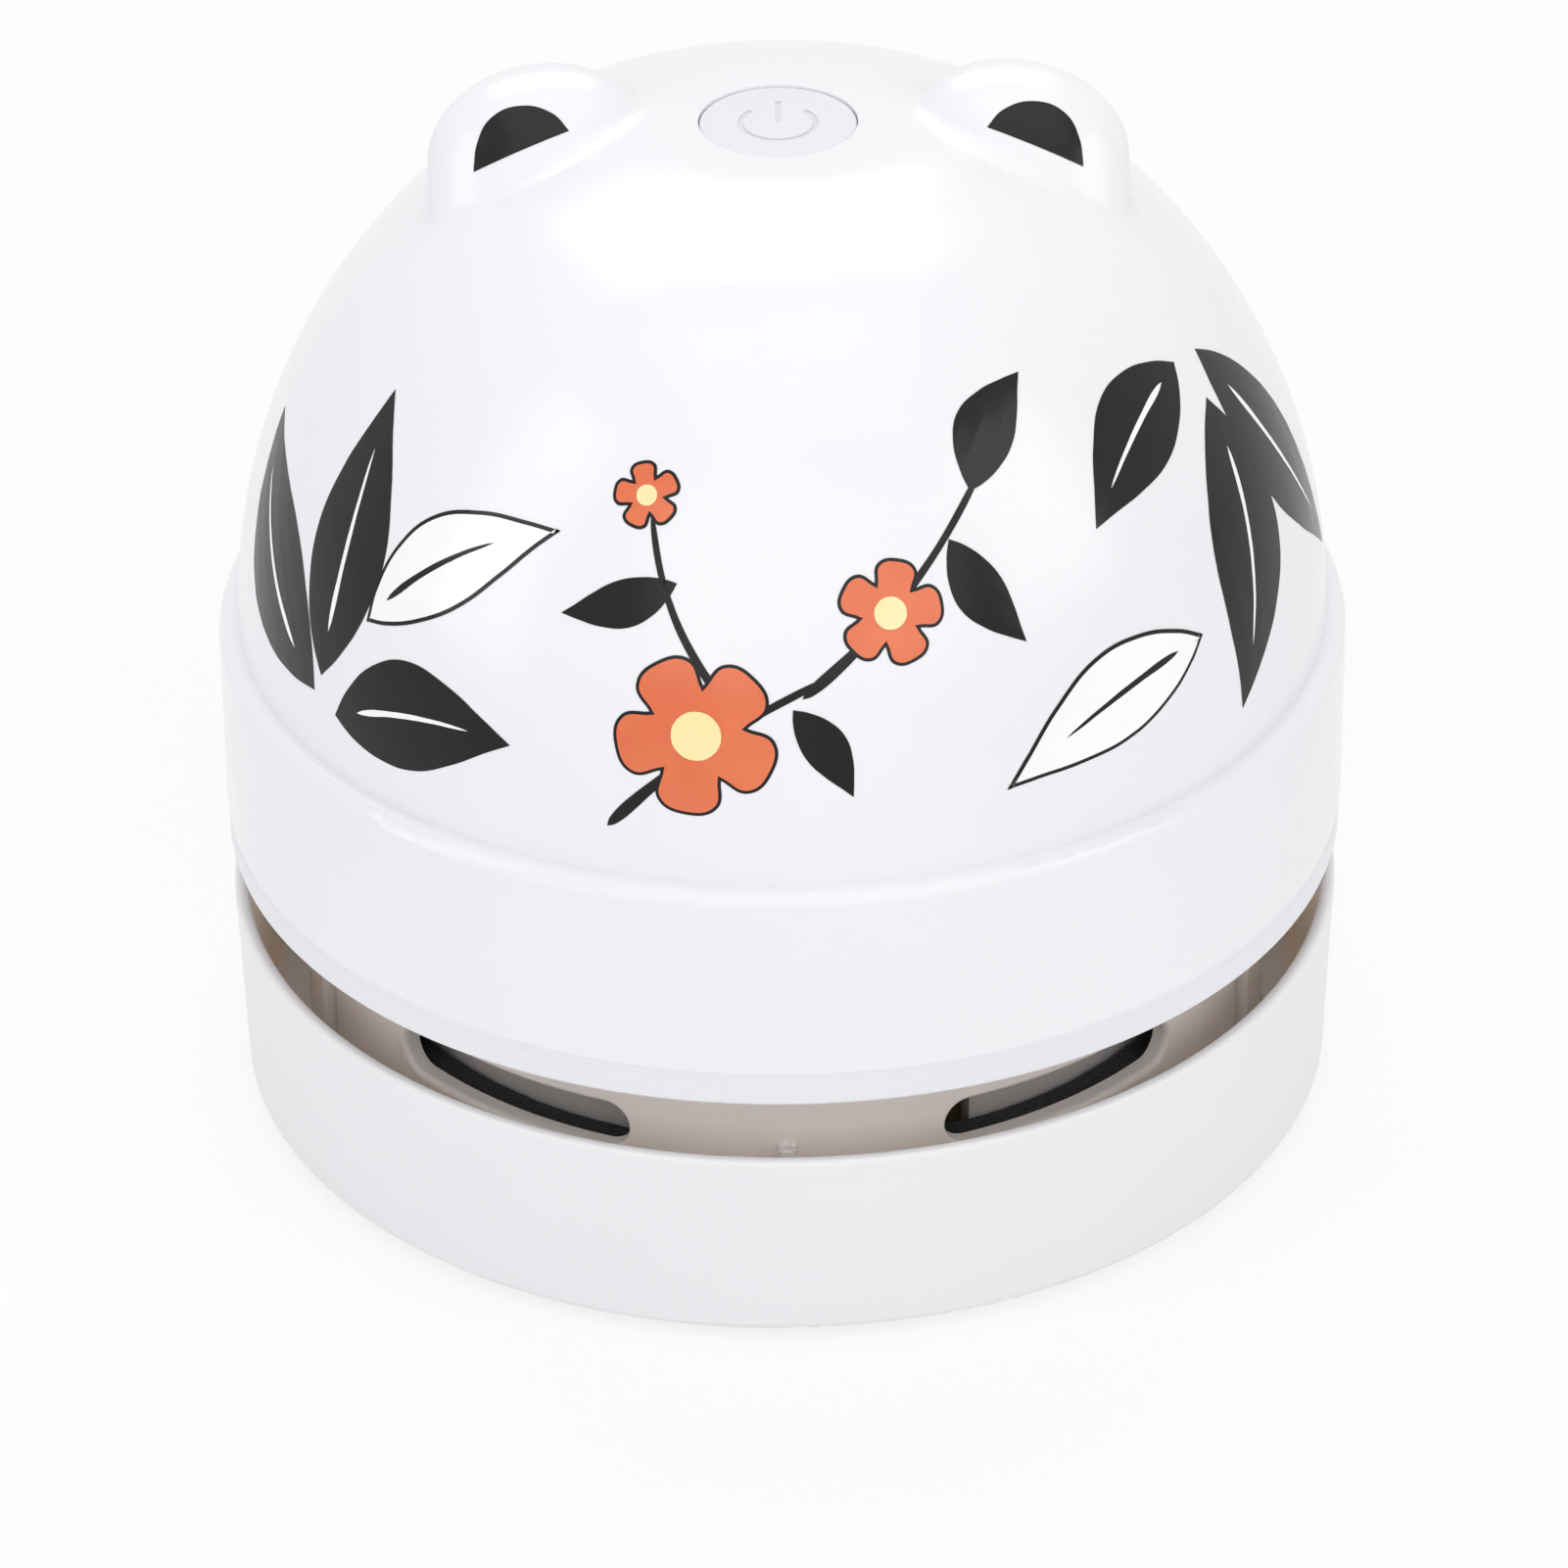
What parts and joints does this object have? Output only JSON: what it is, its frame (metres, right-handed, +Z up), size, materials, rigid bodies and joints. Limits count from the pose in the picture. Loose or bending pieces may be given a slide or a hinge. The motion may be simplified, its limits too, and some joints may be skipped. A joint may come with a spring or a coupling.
{
  "type": "desktop mini vacuum cleaner",
  "caption": "Round desktop mini vacuum: domed shell with two ears and a top button, twist-locked on a dust tray with a central inlet and an open air outlet all round.",
  "frame": {"origin": "on the desk under the middle of the base", "axes": "+Z up along the axis of the round body, front towards -Y, charging socket towards +Y"},
  "size_m": [0.085, 0.085, 0.0836],
  "materials": {
    "shell_white": "glossy injection-moulded white ABS",
    "base_white": "satin off-white moulded ABS",
    "inner_plastic": "plain moulded inner plastic",
    "button_smoke": "milky translucent plastic",
    "foam_black": "open-cell black foam",
    "filter_cloth": "non-woven filter cloth",
    "pad_rubber": "soft grey-white rubber",
    "bristle_nylon": "fine nylon bristles",
    "screw_steel": "zinc-plated",
    "motor_steel": "drawn and nickel-plated",
    "bronze": "sintered bronze",
    "magnet_dark": "dark ferrite",
    "black_plastic": "black engineering plastic",
    "contact_brass": "stamped brass",
    "copper": "copper and varnished wire",
    "nickel": "nickel-plated sheet",
    "board_green": "solder-masked circuit board",
    "cell_sleeve": "steel cell in a shrink sleeve",
    "led_clear": "clear resin"
  },
  "bodies": {
    "base": {"base_tray": "base_white", "inlet_tube": "base_white", "bristle_tufts": "bristle_nylon", "glide_pads": "pad_rubber", "slotted_collar": "base_white", "foam_seal": "foam_black", "collar_screws": "screw_steel"},
    "upper": {"fan_housing": "base_white", "intake_grille": "inner_plastic", "filter_frame": "inner_plastic", "filter_disc": "filter_cloth", "motor_mount": "inner_plastic", "motor_can": "motor_steel", "motor_bearing": "bronze", "motor_magnets": "magnet_dark", "motor_end_cap": "black_plastic", "motor_terminals": "contact_brass", "motor_screws": "screw_steel", "mount_screws": "screw_steel", "battery_cradle": "inner_plastic", "battery_cell": "cell_sleeve", "battery_tabs": "nickel", "charging_board": "board_green", "board_chips": "black_plastic", "usb_socket": "nickel", "board_screws": "screw_steel", "switch_board": "board_green", "tact_switch": "black_plastic", "indicator_leds": "led_clear", "switch_screws": "screw_steel", "upper_shell": "shell_white", "case_screws": "screw_steel"},
    "rotor": {"impeller": "inner_plastic", "motor_shaft": "screw_steel", "motor_armature": "motor_steel", "motor_commutator": "copper"},
    "button": {"power_button": "button_smoke", "switch_plunger": "black_plastic"}
  },
  "joints": [
    {"name": "twist_lock", "type": "hinge", "parent": "base", "child": "upper", "pos_m": [0, 0, 0], "axis": [0, 0, 1], "range_deg": [-30, 0]},
    {"name": "fan_spin", "type": "hinge", "parent": "upper", "child": "rotor", "pos_m": [0, 0, 0.035], "axis": [0, 0, 1], "continuous": true},
    {"name": "button_press", "type": "slide", "parent": "upper", "child": "button", "axis": [0, 0, -1], "range_m": [0, 0.0005], "stiffness_N_per_m": 1200, "springref_m": -0.0004}
  ]
}
